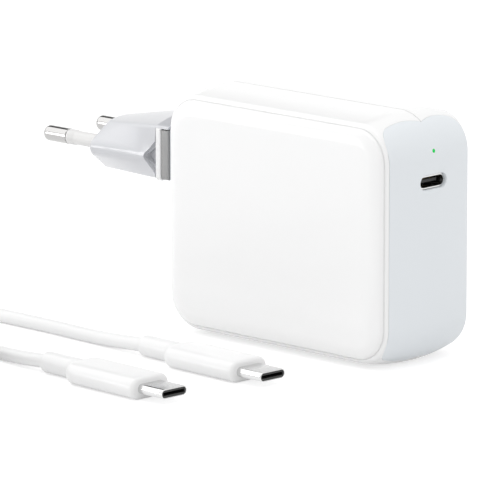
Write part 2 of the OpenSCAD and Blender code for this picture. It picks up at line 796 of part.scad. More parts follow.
// One closed tube of triangles along a path that stays nearly level
module tube(path, radius, sides) {
  count = len(path);
  rings = [
    for (i = [0:count - 1])
      let (dir = path_dir(path, i), across = unit(cross(dir, [0, 0, 1])), rise = cross(across, dir))
      for (k = [0:sides - 1])
        path[i] + radius * (cos(360 * k / sides - 90) * across + sin(360 * k / sides - 90) * rise)
  ];
  walls = [
    for (i = [0:count - 2], k = [0:sides - 1], half = [0, 1])
      let (a = i * sides + k, b = i * sides + (k + 1) % sides)
      half == 0 ? [a, b, b + sides] : [a, b + sides, a + sides]
  ];
  start = [for (k = [1:sides - 2]) [0, k + 1, k]];
  end = (count - 1) * sides;
  finish = [for (k = [1:sides - 2]) [end, end + k, end + k + 1]];
  polyhedron(points = rings, faces = concat(walls, start, finish), convexity = 4);
}

// The coil: in along the lower layer, up one layer in the half turn where the
// spiral reverses, and out along the upper layer
function coil_point(i) =
  let (
    turn = i / coil_steps,
    mid = coil_turns / 2,
    r = coil_r - coil_pitch * (mid - abs(turn - mid)),
    climb = max(0, min(1, (turn - mid + 0.25) * 2)),
    a = 90 + 360 * turn
  )
  [coil_centre[0] + r * cos(a), coil_centre[1] + r * sin(a),
   cable_low + coil_layer * (3 * climb * climb - 2 * climb * climb * climb)];
coil_turn_points = [for (i = [0:coil_turns * coil_steps]) coil_point(i)];
coil_top = coil_centre + [0, coil_r];
coil_path = concat(
  [[coil_top[0] + coil_lead, coil_top[1], cable_low]],
  coil_turn_points,
  [[coil_top[0] - coil_lead, coil_top[1], cable_high]]
);
run_a_path = concat(
  [boot_end(connector_a_tip, connector_a_turn, 0)],
  smooth(concat([boot_end(connector_a_tip, connector_a_turn, 1.5)], run_a_points), 2),
  [[coil_top[0] - coil_lead, coil_top[1], cable_high]]
);
run_b_path = concat(
  [boot_end(connector_b_tip, connector_b_turn, 0)],
  smooth(concat([boot_end(connector_b_tip, connector_b_turn, 1.5)], run_b_points), 2),
  [[coil_top[0] + coil_lead, coil_top[1], cable_low]]
);

// Least clear gap of the coil to itself, between points over half a turn apart
coil_gap = min([
  for (i = [0:len(coil_path) - 1])
    for (j = [i + coil_steps / 2 + 1:1:len(coil_path) - 1])
      norm(coil_path[i] - coil_path[j])
]) - cable_d;
echo(coil_gap = coil_gap);
echo(cable_length = path_length(run_a_path) + path_length(coil_path) + path_length(run_b_path));
echo(ring_count = len(run_a_path) + len(run_b_path));

module cable_run_a() color("white") tube(run_a_path, cable_r, 8);

module cable_coil() color("white") tube(coil_path, cable_r, 6);

module cable_run_b() color("white") tube(run_b_path, cable_r, 8);

front_shell();
rear_shell();
port_end_panel();
plug_end_panel();
dock_stud();
live_inlet_prong();
neutral_inlet_prong();
port_shell();
port_tongue();
port_contacts();
light_pipe();
led_chip();
main_board();
output_board();
insulation_sheet();
heat_spreader();
transformer_core();
transformer_bobbin();
transformer_winding();
choke_core();
choke_windings();
x_capacitor();
bulk_capacitor_1();
bulk_capacitor_2();
y_capacitor();
bridge_rectifier();
mains_fuse();
switching_transistor();
transistor_heat_sink();
controller_chip();
output_capacitors();
plug_body();
plug_base_plate();
plug_neck();
live_pin();
neutral_pin();
live_pin_sleeve();
neutral_pin_sleeve();
live_contact_spring();
neutral_contact_spring();
connector_a_shell();
connector_a_insert();
connector_a_overmold();
connector_a_boot();
connector_b_shell();
connector_b_insert();
connector_b_overmold();
connector_b_boot();
cable_run_a();
cable_coil();
cable_run_b();
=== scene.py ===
import json
import math

import bmesh
import bpy
from mathutils import Matrix, Vector


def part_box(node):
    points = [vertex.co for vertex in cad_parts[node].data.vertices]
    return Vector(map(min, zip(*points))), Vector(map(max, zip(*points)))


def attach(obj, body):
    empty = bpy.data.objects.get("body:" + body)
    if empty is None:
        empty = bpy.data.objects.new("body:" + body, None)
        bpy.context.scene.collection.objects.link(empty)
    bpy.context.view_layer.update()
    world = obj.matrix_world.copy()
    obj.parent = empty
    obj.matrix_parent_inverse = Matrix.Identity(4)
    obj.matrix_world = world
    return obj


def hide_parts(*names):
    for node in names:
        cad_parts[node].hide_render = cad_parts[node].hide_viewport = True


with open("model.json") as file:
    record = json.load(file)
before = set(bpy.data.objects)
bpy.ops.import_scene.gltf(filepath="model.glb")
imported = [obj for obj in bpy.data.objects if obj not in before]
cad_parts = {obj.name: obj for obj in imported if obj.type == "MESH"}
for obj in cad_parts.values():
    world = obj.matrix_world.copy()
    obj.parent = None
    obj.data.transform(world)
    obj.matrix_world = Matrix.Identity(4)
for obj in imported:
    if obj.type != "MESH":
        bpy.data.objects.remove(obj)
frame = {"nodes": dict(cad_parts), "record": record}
scene = bpy.context.scene
nodes = frame["nodes"]
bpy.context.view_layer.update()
mm = 0.001
micron = 0.000001
print("Frame loaded,", len(nodes), "nodes")


# camera: seen from the front corner beside the port, through a long lens

cameraView = {
    "azimuth": 43.5,  # degrees round from the front
    "elevation": 11.9,
    "lens": 414.0,
    "sensor": 36,
    "distance": 1402.4,  # mm from the aim point
    "aim": (-10.9, -12.45, 23.35),
    "farClip": 20,  # metres
}


def makeCamera(view):
    a, e = math.radians(view["azimuth"]), math.radians(view["elevation"])
    back = Vector((math.sin(a) * math.cos(e), -math.cos(a) * math.cos(e), math.sin(e)))
    data = bpy.data.cameras.new("Camera")
    data.lens = view["lens"]
    data.sensor_width = view["sensor"]
    data.clip_end = view["farClip"]
    camera = bpy.data.objects.new("Camera", data)
    scene.collection.objects.link(camera)
    camera.location = (Vector(view["aim"]) + back * view["distance"]) * mm
    camera.rotation_mode = "QUATERNION"
    camera.rotation_quaternion = (-back).to_track_quat("-Z", "Y")
    scene.camera = camera


makeCamera(cameraView)


# shader groups that several materials share

def newGroup(name, inputs):
    group = bpy.data.node_groups.new(name, "ShaderNodeTree")
    for label, kind, value in inputs:
        item = group.interface.new_socket(name=label, in_out="INPUT", socket_type="NodeSocket" + kind)
        item.default_value = value
    for label, kind in (("Color", "Color"), ("Roughness", "Float"), ("Normal", "Vector")):
        group.interface.new_socket(name=label, in_out="OUTPUT", socket_type="NodeSocket" + kind)
    return group, group.nodes.new("NodeGroupInput").outputs, group.nodes.new("NodeGroupOutput").inputs


def setOrLink(tree, socket, value):
    if isinstance(value, bpy.types.NodeSocket):
        tree.links.new(value, socket)
    else:
        socket.default_value = value


def noise(tree, place, scale, detail=2.0):
    node = tree.nodes.new("ShaderNodeTexNoise")
    node.inputs["Detail"].default_value = detail
    setOrLink(tree, node.inputs["Vector"], place)
    setOrLink(tree, node.inputs["Scale"], scale)
    return node.outputs["Fac"]


def bump(tree, height, distance, normal=None):
    node = tree.nodes.new("ShaderNodeBump")
    setOrLink(tree, node.inputs["Height"], height)
    setOrLink(tree, node.inputs["Distance"], distance)
    if normal:
        tree.links.new(normal, node.inputs["Normal"])
    return node.outputs["Normal"]


def spread(tree, value, low, high):
    node = tree.nodes.new("ShaderNodeMapRange")
    node.inputs["From Min"].default_value = 0.3  # noise keeps mostly to the middle
    node.inputs["From Max"].default_value = 0.7
    setOrLink(tree, node.inputs["Value"], value)
    setOrLink(tree, node.inputs["To Min"], low)
    setOrLink(tree, node.inputs["To Max"], high)
    return node.outputs["Result"]


def maths(tree, operation, a, b):
    node = tree.nodes.new("ShaderNodeMath")
    node.operation = operation
    setOrLink(tree, node.inputs[0], a)
    setOrLink(tree, node.inputs[1], b)
    return node.outputs[0]


def tint(tree, mask, colorA, colorB):
    node = tree.nodes.new("ShaderNodeMix")
    node.data_type = "RGBA"
    setOrLink(tree, node.inputs["Factor"], mask)
    setOrLink(tree, node.inputs["A"], colorA)
    setOrLink(tree, node.inputs["B"], colorB)
    return node.outputs["Result"]


# plastic as it leaves the mould: faint flow waves, fine grain and a little drift in colour and gloss
def buildMouldedSkin():
    group, given, out = newGroup("MouldedSkin", [
        ("Color", "Color", (0.8, 0.8, 0.8, 1)),
        ("Drift Color", "Color", (0.75, 0.75, 0.75, 1)),
        ("Roughness", "Float", 0.3),
        ("Roughness Drift", "Float", 0.03),
        ("Grain Scale", "Float", 3000.0),
        ("Grain Depth", "Float", micron),
        ("Flow Scale", "Float", 60.0),
        ("Flow Depth", "Float", 10 * micron),
        ("Cloud Scale", "Float", 35.0),
    ])
    place = group.nodes.new("ShaderNodeTexCoord").outputs["Object"]
    cloud = noise(group, place, given["Cloud Scale"], 3.0)
    duller = maths(group, "ADD", given["Roughness"], given["Roughness Drift"])
    waves = bump(group, noise(group, place, given["Flow Scale"], 1.0), given["Flow Depth"])
    grain = noise(group, place, given["Grain Scale"])
    group.links.new(tint(group, cloud, given["Color"], given["Drift Color"]), out["Color"])
    group.links.new(spread(group, cloud, given["Roughness"], duller), out["Roughness"])
    group.links.new(bump(group, grain, given["Grain Depth"], waves), out["Normal"])
    return group


# metal that was drawn or turned: hairlines along one direction and faint tarnish
def buildDrawnMetal():
    group, given, out = newGroup("DrawnMetal", [
        ("Color", "Color", (0.8, 0.8, 0.8, 1)),
        ("Tarnish Color", "Color", (0.6, 0.6, 0.6, 1)),
        ("Roughness", "Float", 0.2),
        ("Roughness Drift", "Float", 0.1),
        ("Line Stretch", "Vector", (1, 20, 20)),
        ("Line Scale", "Float", 400.0),
        ("Line Depth", "Float", micron),
        ("Cloud Scale", "Float", 120.0),
    ])
    place = group.nodes.new("ShaderNodeTexCoord").outputs["Object"]
    drawn = group.nodes.new("ShaderNodeVectorMath")
    drawn.operation = "MULTIPLY"
    setOrLink(group, drawn.inputs[0], place)
    setOrLink(group, drawn.inputs[1], given["Line Stretch"])
    lines = noise(group, drawn.outputs[0], given["Line Scale"], 3.0)
    cloud = noise(group, place, given["Cloud Scale"], 3.0)
    duller = maths(group, "ADD", given["Roughness"], given["Roughness Drift"])
    group.links.new(tint(group, cloud, given["Color"], given["Tarnish Color"]), out["Color"])
    group.links.new(spread(group, lines, given["Roughness"], duller), out["Roughness"])
    group.links.new(bump(group, lines, given["Line Depth"]), out["Normal"])
    return group


mouldedSkin = buildMouldedSkin()
drawnMetal = buildDrawnMetal()


# a grey, with warm added to its red and taken from its blue
def rgb(level, warm=0.0):
    return (level + warm, level, level - warm, 1)


def newMaterial(name, group, values, settings):
    material = bpy.data.materials.new(name)
    material.use_nodes = True
    tree = material.node_tree
    shader = tree.nodes["Principled BSDF"]
    skin = tree.nodes.new("ShaderNodeGroup")
    skin.node_tree = group
    skin.location = (-300, 0)
    for label, value in values.items():
        skin.inputs[label].default_value = value
    tree.links.new(skin.outputs["Color"], shader.inputs["Base Color"])
    tree.links.new(skin.outputs["Roughness"], shader.inputs["Roughness"])
    tree.links.new(skin.outputs["Normal"], shader.inputs["Normal"])
    for label, value in settings.items():
        shader.inputs[label].default_value = value
    return material


# skin holds the shared group's values where they differ from its own, shader the material's own sockets
def plastic(name, color, drift, roughness, skin=None, shader=None):
    values = {"Color": color, "Drift Color": drift, "Roughness": roughness, **(skin or {})}
    return newMaterial(name, mouldedSkin, values, shader or {})


def metal(name, color, tarnish, roughness, skin=None):
    values = {"Color": color, "Tarnish Color": tarnish, "Roughness": roughness, **(skin or {})}
    return newMaterial(name, drawnMetal, values, {"Metallic": 1.0})


shellGloss = {"Coat Weight": 0.2, "Coat Roughness": 0.1}
headGloss = {"Coat Weight": 1.0, "Coat Roughness": 0.28}
cablePlugGloss = {"Coat Weight": 0.1, "Coat Roughness": 0.15}
lensGlow = {"Emission Color": (0.0, 0.6, 0.08, 1), "Emission Strength": 0.35}
satinGrain = {"Grain Depth": 3 * micron, "Grain Scale": 5200.0}
jacketGrain = {"Grain Depth": 2 * micron, "Grain Scale": 2600.0}
maskGrain = {"Grain Depth": 4 * micron, "Grain Scale": 1500.0}
pinLines = {"Roughness Drift": 0.05, "Line Stretch": (3, 40, 40)}

finishes = {
    # seen from outside
    "housing_white": plastic(
        "polishedShell", rgb(0.9), rgb(0.89), 0.22, {"Grain Depth": 0.6 * micron}, shellGloss),
    "panel_grey": plastic("satinPanel", (0.79, 0.822, 0.85, 1), (0.78, 0.812, 0.84, 1), 0.42, satinGrain),
    "plug_grey": plastic(
        "plugBodyGrey", (0.555, 0.562, 0.588, 1), (0.545, 0.552, 0.578, 1), 0.2, shader=headGloss),
    "base_plate_white": plastic("basePlateWhite", rgb(0.86), rgb(0.85), 0.25),
    # the neck's grey is made darker to paint the shade that falls in the gap between the base plate and the
    # housing
    "neck_grey": plastic("neckGrey", rgb(0.33), rgb(0.31), 0.35),
    "pin_chrome": metal("nickelledPin", rgb(0.5, 0.005), rgb(0.47, 0.005), 0.07, pinLines),
    "bare_metal": metal("platedSteel", rgb(0.74), rgb(0.68), 0.17, {"Roughness Drift": 0.08}),
    "sleeve_white": plastic("pinSleeve", rgb(0.74, 0.006), rgb(0.72, 0.006), 0.4),
    "black_resin": plastic("blackResin", rgb(0.012), rgb(0.02), 0.4, {"Grain Depth": 3 * micron}),
    "gold_plate": metal("goldPlate", (0.83, 0.62, 0.28, 1), (0.75, 0.54, 0.22, 1), 0.2),
    "green_lens": plastic("greenLens", (0.0, 0.42, 0.06, 1), (0.0, 0.38, 0.06, 1), 0.2, shader=lensGlow),
    "cable_plug_white": plastic(
        "cablePlugWhite", rgb(0.85), rgb(0.84), 0.28, {"Grain Depth": 0.8 * micron}, cablePlugGloss),
    "cable_white": plastic("cordJacket", rgb(0.86), rgb(0.85), 0.36, jacketGrain),
    # inside the housing
    "led_white": plastic("ledResin", (0.9, 0.88, 0.7, 1), (0.88, 0.85, 0.65, 1), 0.3),
    "board_green": plastic("solderMask", (0.01, 0.11, 0.035, 1), (0.015, 0.14, 0.05, 1), 0.3, maskGrain),
    "amber_film": plastic("amberFilm", (0.55, 0.30, 0.05, 1), (0.50, 0.26, 0.04, 1), 0.2),
    "sheet_aluminium": metal("sheetAluminium", rgb(0.72), rgb(0.66), 0.32, {"Line Stretch": (1, 30, 1)}),
    "ferrite": plastic("ferriteCore", rgb(0.03), rgb(0.045), 0.55, {"Grain Depth": 10 * micron}),
    "winding_tape": plastic("yellowTape", (0.75, 0.50, 0.05, 1), (0.70, 0.45, 0.04, 1), 0.35),
    "copper_wire": metal(
        "enamelledCopper", (0.62, 0.25, 0.09, 1), (0.5, 0.18, 0.06, 1), 0.25, {"Line Stretch": (60, 4, 4)}),
    "capacitor_sleeve": plastic("capacitorSleeve", (0.01, 0.015, 0.06, 1), (0.012, 0.02, 0.08, 1), 0.3),
    "disc_blue": plastic(
        "discEpoxy", (0.02, 0.08, 0.32, 1), (0.03, 0.1, 0.36, 1), 0.3, {"Grain Depth": 10 * micron}),
    "fuse_brown": plastic("fuseCase", (0.09, 0.035, 0.015, 1), (0.1, 0.04, 0.02, 1), 0.35),
}

for part in frame["record"]["subparts"]:
    nodes[part["node"]].data.materials.clear()
    nodes[part["node"]].data.materials.append(finishes[part["material_slot"]])
print("Materials made,", len(finishes))


# mesh helpers, all in millimetres

def addPiece(name, points, faces, body, slotName, replaced=(), sharpAngle=38, bore=None, added=None):
    mesh = bpy.data.meshes.new(name)
    mesh.from_pydata([Vector(p) * mm for p in points], [], faces)
    work = bmesh.new()
    work.from_mesh(mesh)
    bmesh.ops.remove_doubles(work, verts=work.verts, dist=1e-7)
    bmesh.ops.recalc_face_normals(work, faces=work.faces)
    work.to_mesh(mesh)
    work.free()
    piece = bpy.data.objects.new(name, mesh)
    scene.collection.objects.link(piece)
    for tool, operation in [(t, "DIFFERENCE") for t in bore or ()] + [(t, "UNION") for t in added or ()]:
        combine(piece, tool, operation)
    smoothPiece(piece, sharpAngle)
    piece.data.materials.clear()
    piece.data.materials.append(finishes[slotName])
    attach(piece, body)
    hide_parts(*replaced)
    return piece


# tool is a (points, faces) solid that is cut from the piece or joined to it
def combine(piece, tool, operation):
    mesh = bpy.data.meshes.new("tool")
    mesh.from_pydata([Vector(p) * mm for p in tool[0]], [], tool[1])
    work = bmesh.new()
    work.from_mesh(mesh)
    bmesh.ops.recalc_face_normals(work, faces=work.faces)
    work.to_mesh(mesh)
    work.free()
    cutter = bpy.data.objects.new("tool", mesh)
    scene.collection.objects.link(cutter)
    modifier = piece.modifiers.new("combine", "BOOLEAN")
    modifier.object = cutter
    modifier.operation = operation
    modifier.solver = "EXACT"
    bpy.context.view_layer.update()
    result = bpy.data.meshes.new_from_object(piece.evaluated_get(bpy.context.evaluated_depsgraph_get()))
    piece.modifiers.clear()
    piece.data = result
    bpy.data.objects.remove(cutter)


def smoothPiece(piece, sharpAngle):
    work = bmesh.new()
    work.from_mesh(piece.data)
    limit = math.radians(sharpAngle)
    for face in work.faces:
        face.smooth = True
    for edge in work.edges:
        if len(edge.link_faces) == 2:
            edge.smooth = edge.calc_face_angle(0) < limit
    work.to_mesh(piece.data)
    work.free()


# rings of equal length joined into a closed skin, with a flat cap at each end
def loft(rings, closed=False):
    count = len(rings[0])
    points = [p for ring in rings for p in ring]
    faces = []
    last = len(rings) if closed else len(rings) - 1
    for i in range(last):
        a, b = i * count, (i + 1) % len(rings) * count
        for k in range(count):
            n = (k + 1) % count
            faces.append((a + k, a + n, b + n, b + k))
    if not closed:
        faces.append(tuple(range(count))[::-1])
        faces.append(tuple(range(last * count, (last + 1) * count)))
    return points, faces


# corner points with a radius each become one smooth closed outline
def roundedOutline(corners, steps, straight):
    outline = []
    total = len(corners)
    ends = []
    for i, (x, y, radius) in enumerate(corners):
        here = Vector((x, y))
        if radius == 0:
            ends.append([here])
            continue
        before = (Vector(corners[i - 1][:2]) - here).normalized()
        after = (Vector(corners[(i + 1) % total][:2]) - here).normalized()
        half = before.angle(after) / 2
        reach = radius / math.tan(half)
        start, finish = here + before * reach, here + after * reach
        centre = here + (before + after).normalized() * (radius / math.sin(half))
        arm = start - centre
        sweep = arm.angle_signed(finish - centre)
        ends.append([centre + Matrix.Rotation(-sweep * k / steps, 2) @ arm for k in range(steps + 1)])
    for i, arc in enumerate(ends):
        outline += arc
        following = ends[(i + 1) % total][0]
        for k in range(1, straight):
            outline.append(arc[-1].lerp(following, k / straight))
    return outline


# an outline with round ends, or a circle where width and height are the same
def pill(width, height, steps=12):
    r = height / 2
    reach = width / 2 - r
    points = []
    for side, start in ((1, -90), (-1, 90)):
        for k in range(steps + 1):
            a = math.radians(start + 180 * k / steps)
            points.append((side * reach + r * math.cos(a), r * math.sin(a)))
    return points


# a flat outline of (y, z) points stood across X
def acrossX(outline, x):
    return [(x, y, z) for y, z in outline]


# housing: one side profile swept round the pillow's rounded rectangle

housing = {
    "cornerRadius": 11.0,
    "crownRadius": 60.0,
    "shoulderRadius": 1.7,
    "shoulderInset": 3.4,  # from the flat face to the shoulder's centre
    "creaseAngle": 75,
    "creaseDepth": 0.2,
    "faceInset": 4.14,
    "rollRadius": 7.5,
    "rollAngle": 28,
    "edgeRadius": 1.2,
    "wall": 2.6,
    "faceWall": 2.2,
    "innerRadius": 3.5,
    "footCut": 0.3,
    "seamGap": 0.2,
    "seamDrop": 0.05,  # how far an edge dips in at the seam
    "panelDrop": 0.12,  # and beside an end panel
    "panelWidth": 28.0,
    "panelWrap": 4.3,
    "lobeRadius": 24.0,
    "lobeCentre": 8.5,
    "lobeCornerRadius": 3.5,
    "lobeEase": 0.1,
    "rowStops": (0.3, 0.8, 1.5, 3, 4.5, 6, 7.25, 9.5),  # distances of the profile's points from the seam
    "panelStops": (-0.02, 0, 0.1, 0.25),  # and from the panel's side
    "flatRows": 6,  # last rows of the profile, where the inside is already flat
}
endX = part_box("port_end_panel")[1].x / mm
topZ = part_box("front_shell")[1].z / mm
halfThick = -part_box("front_shell")[0].y / mm
runX = endX - housing["cornerRadius"]
pillowZ = (topZ - housing["footCut"]) / 2
runZ = (topZ + housing["footCut"]) / 2 - housing["cornerRadius"]


# (distance out from the corner's axis, distance from the seam, outward direction) down one side
def sideProfile(h):
    crown, shoulder = h["crownRadius"], h["shoulderRadius"]
    crownCentre = h["cornerRadius"] - crown
    shoulderY = halfThick - h["shoulderInset"]
    lean = math.asin(shoulderY / (crown - shoulder))
    shoulderU = crownCentre + (crown - shoulder) * math.cos(lean)
    panelY = h["panelWidth"] / 2
    cornerY = panelY - h["lobeCornerRadius"]

    def onSide(y):
        if y < crown * math.sin(lean):
            a = math.asin(y / crown)
            return crownCentre + crown * math.cos(a), y, a
        a = math.asin((y - shoulderY) / shoulder)
        return shoulderU + shoulder * math.cos(a), y, a

    stops = [h["seamGap"] / 2, *h["rowStops"], h["lobeCentre"]]
    stops += [cornerY + h["lobeCornerRadius"] * math.sin(math.radians(9 * k)) for k in range(10)]
    stops += [panelY + beyond for beyond in h["panelStops"]]
    rows = [onSide(y) for y in sorted(stops)]

    creaseA = math.radians(h["creaseAngle"])
    crease = Vector((shoulderU + shoulder * math.cos(creaseA), shoulderY + shoulder * math.sin(creaseA)))
    depth, edge = h["creaseDepth"], h["edgeRadius"]
    first = rows[-1][2]
    final = creaseA - depth / shoulder
    for k in range(1, 9):
        a = first + (final - first) * k / 8
        rows.append((shoulderU + shoulder * math.cos(a), shoulderY + shoulder * math.sin(a), a))

    # the face's rolled edge, a wide arc that ends in a small one at the crease
    roll = math.radians(h["rollAngle"])
    faceU = crease.x - h["faceInset"]
    radius = h["rollRadius"]
    rollEnd = Vector((faceU + radius * math.sin(roll), halfThick - radius * (1 - math.cos(roll))))
    edgeCentre = rollEnd - edge * Vector((math.sin(roll), math.cos(roll)))
    low = math.atan2(crease.y - edgeCentre.y, crease.x - edgeCentre.x) + depth / edge
    grooveStart = Vector(rows[-1][:2]) - crease
    grooveEnd = edgeCentre + edge * Vector((math.cos(low), math.sin(low))) - crease
    a0, a1 = math.atan2(grooveStart.y, grooveStart.x), math.atan2(grooveEnd.y, grooveEnd.x)
    a1 = a1 - 2 * math.pi if a1 > a0 else a1
    for k in range(1, 6):
        a = a0 + (a1 - a0) * k / 6
        rows.append((crease.x + depth * math.cos(a), crease.y + depth * math.sin(a), a + math.pi))
    for k in range(7):
        a = low + (math.pi / 2 - roll - low) * k / 6
        rows.append((edgeCentre.x + edge * math.cos(a), edgeCentre.y + edge * math.sin(a), a))
    for k in range(1, 11):
        a = math.pi / 2 - roll * (1 - k / 10)
        rows.append((faceU + radius * math.cos(a), halfThick - radius * (1 - math.sin(a)), a))
    return rows


# the inside wall behind each row of the profile
def innerProfile(rows, h):
    wallU = h["cornerRadius"] - h["wall"]
    bend, flatY = h["innerRadius"], halfThick - h["faceWall"]
    turning = [i for i, row in enumerate(rows) if row[1] > flatY - bend]
    inner = []
    for i, (u, y, a) in enumerate(rows):
        if i < turning[0]:
            inner.append((wallU, y))
            continue
        t = math.pi / 2 * min(1, (i - turning[0] + 1) / (len(rows) - turning[0] - h["flatRows"]))
        inner.append((min(u, wallU - bend + bend * math.cos(t)), flatY - bend + bend * math.sin(t)))
    return inner


# how far along X an end panel's edge lies, for a distance from the seam
def panelEdge(y, h):
    dip = h["lobeRadius"] - math.sqrt(h["lobeRadius"] ** 2 - h["lobeCentre"] ** 2)
    tip = endX - h["panelWrap"] - dip
    y = min(abs(y), h["panelWidth"] / 2)
    cornerY = h["panelWidth"] / 2 - h["lobeCornerRadius"]
    if y < cornerY:
        return tip + h["lobeRadius"] - math.sqrt(h["lobeRadius"] ** 2 - (y - h["lobeCentre"]) ** 2)
    cornerX = tip + h["lobeCornerRadius"] + h["lobeEase"]
    return cornerX - math.sqrt(max(0, h["lobeCornerRadius"] ** 2 - (y - cornerY) ** 2))


# stations along a quarter of the loop, from the top's middle to the end's middle
stations = {
    "run": (0, 9, 18, 24),  # distances along the top
    "shell": (0, 0.08, 0.2, 0.33, 0.46, 0.59, 0.71, 0.82, 0.91),  # shares of the corner up to the panel
    "edge": (-0.3, -0.1, 0, 0.1, 0.3),  # distances from the panel's edge
    "panel": (0.09, 0.18, 0.28, 0.39, 0.5, 0.61, 0.72, 0.82, 0.92, 1),  # shares of the corner that it covers
    "fall": (2, 5, 8, 12, 16, runZ),  # distances down the end
}
edgeBand = stations["edge"][-1]
quarter = [(kind, value) for kind, values in stations.items() for value in values]
edgeStation = quarter.index(("edge", 0))


def stationPoint(station, u, edgeAngle):
    kind, value = station
    if kind == "run":
        return value, runZ + u
    if kind == "fall":
        return runX + u, runZ - value
    if kind == "shell":
        a = value * (edgeAngle - edgeBand / u)
    elif kind == "edge":
        a = edgeAngle + value / u
    else:
        a = edgeAngle + edgeBand / u + value * (math.pi / 2 - edgeAngle - edgeBand / u)
    return runX + u * math.sin(a), runZ + u * math.cos(a)


# the whole loop, as (station, sign of x, sign of z, whether the step after it lies in a panel)
def loopStations():
    loop = []
    for signX, signZ in ((1, 1), (1, -1), (-1, -1), (-1, 1)):
        onward = signX * signZ > 0
        order = range(len(quarter)) if onward else range(len(quarter) - 1, -1, -1)
        for i in list(order)[:-1]:
            inPanel = i >= edgeStation if onward else i > edgeStation
            loop.append((quarter[i], signX, signZ, inPanel))
    return loop


loop = loopStations()
profile = sideProfile(housing)
inside = innerProfile(profile, housing)
panelSines = [(panelEdge(y, housing) - runX) / u for u, y, a in profile if y <= housing["panelWidth"] / 2]


# sine of the angle round the corner at which a panel's edge lies, which past the panel's side stays the same
def edgeSine(u, y):
    return min(panelSines[-1], (panelEdge(y, housing) - runX) / u)


# cells of the grid become a closed solid: an outside, an inside and a rim where they meet
def housingSolid(rows, inner, keepCell, drop, sealed):
    outerPoints, innerPoints, directions = [], [], []
    for (u, y, a, side), (innerU, innerY) in zip(rows, inner):
        edgeAngle = math.asin(edgeSine(u, y))
        for station, signX, signZ, inPanel in loop:
            x, z = stationPoint(station, u, edgeAngle)
            xIn, zIn = stationPoint(station, innerU, edgeAngle)
            reach = math.hypot(max(0, x - runX), max(0, z - runZ)) or 1
            out = Vector((max(0, x - runX) / reach * signX, 0, max(0, z - runZ) / reach * signZ))
            outerPoints.append(Vector((signX * x, side * y, pillowZ + signZ * z)))
            innerPoints.append(Vector((signX * xIn, side * innerY, pillowZ + signZ * zIn)))
            directions.append((out * math.cos(a) + Vector((0, side * math.sin(a), 0))).normalized())
    wide = len(loop)
    cells = []
    for i in range(len(rows) - 1):
        middle = (rows[i][3] * rows[i][1] + rows[i + 1][3] * rows[i + 1][1]) / 2
        for j in range(wide):
            if keepCell(middle, loop[j][3], loop[j][1]):
                n = (j + 1) % wide
                cells.append((i * wide + j, i * wide + n, (i + 1) * wide + n, (i + 1) * wide + j))
    uses = {}
    for cell in cells:
        for a, b in zip(cell, cell[1:] + cell[:1]):
            uses[frozenset((a, b))] = uses.get(frozenset((a, b)), 0) + 1
    rim = [tuple(edge) for edge, count in uses.items() if count == 1]
    faceRing = set(sealed)
    for v in {v for edge in rim for v in edge} - faceRing:
        outerPoints[v] = outerPoints[v] - directions[v] * drop(outerPoints[v])
    for p in outerPoints:
        p.z = max(p.z, 0)
    total = len(outerPoints)
    faces = list(cells) + [tuple(v + total for v in cell) for cell in cells]
    faces += [(a, b, b + total, a + total) for a, b in rim if not (a in faceRing and b in faceRing)]
    if sealed:
        faces += [tuple(sealed), tuple(v + total for v in sealed)]
    return outerPoints + innerPoints, faces


def shellSolid(side):
    rows = [row + (side,) for row in profile]
    last = (len(rows) - 1) * len(loop)
    sealed = list(range(last, last + len(loop)))
    halfPanel = housing["panelWidth"] / 2

    def keep(y, inPanel, signX):
        return abs(y) > halfPanel or not inPanel

    def drop(p):
        return housing["seamDrop"] if abs(p.y) < housing["seamGap"] else housing["panelDrop"]

    return housingSolid(rows, inside, keep, drop, sealed)


def panelSolid(end):
    count = len([row for row in profile if row[1] <= housing["panelWidth"] / 2 + 1e-6])
    rows = [row + (-1,) for row in profile[count - 1:0:-1]] + [row + (1,) for row in profile[:count]]
    inner = inside[count - 1:0:-1] + inside[:count]

    def keep(y, inPanel, signX):
        return inPanel and signX == end

    return housingSolid(rows, inner, keep, lambda p: housing["panelDrop"], [])


port = {
    "width": 9.3,
    "height": 3.46,
    "z": 45.2,
    "rim": 0.5,  # radius of the rounded mouth
    "lightZ": 52.7,
    "lightBore": 1.0,
    "behind": 6,  # the cutters reach from here inside the panel
    "beyond": 2,  # to here outside it
}


def portCutter(p):
    rings = [acrossX(pill(p["width"], p["height"]), endX - p["behind"])]
    for k in range(9):
        t = math.radians(90 * k / 8)
        grow = 2 * p["rim"] * (1 - math.cos(t))
        x = endX - p["rim"] * (1 - math.sin(t))
        rings.append(acrossX(pill(p["width"] + grow, p["height"] + grow), x))
    widest = pill(p["width"] + 2 * p["rim"], p["height"] + 2 * p["rim"])
    rings.append(acrossX(widest, endX + p["beyond"]))
    return loft([[(x, y, z + p["z"]) for x, y, z in ring] for ring in rings])


def lightCutter(p):
    circle = pill(p["lightBore"] + 0.002, p["lightBore"])
    rings = [acrossX(circle, x) for x in (endX - p["behind"], endX + p["beyond"])]
    return loft([[(x, y, z + p["lightZ"]) for x, y, z in ring] for ring in rings])


dock = {"size": (25.0, 13.2), "z": 43.3, "radius": 0.5, "depth": 1.7}


def dockPad(d):
    y, z, radius = d["size"][0] / 2, d["size"][1] / 2, d["radius"]
    outline = roundedOutline([(y, -z, radius), (y, z, radius), (-y, z, radius), (-y, -z, radius)], 6, 4)
    rings = [acrossX(outline, x) for x in (-endX, -endX + d["depth"])]
    return loft([[(x, y, z + d["z"]) for x, y, z in ring] for ring in rings])


addPiece("frontShell", *shellSolid(-1), "housing", "housing_white", ["front_shell"])
addPiece("rearShell", *shellSolid(1), "housing", "housing_white", ["rear_shell"])
addPiece("portPanel", *panelSolid(1), "housing", "panel_grey", ["port_end_panel"],
         bore=[portCutter(port), lightCutter(port)])
addPiece("plugPanel", *panelSolid(-1), "housing", "panel_grey", ["plug_end_panel"], added=[dockPad(dock)])
print("Housing made")


# plug head: a body that narrows to its nose, a base plate, a neck on the dock, and two pins

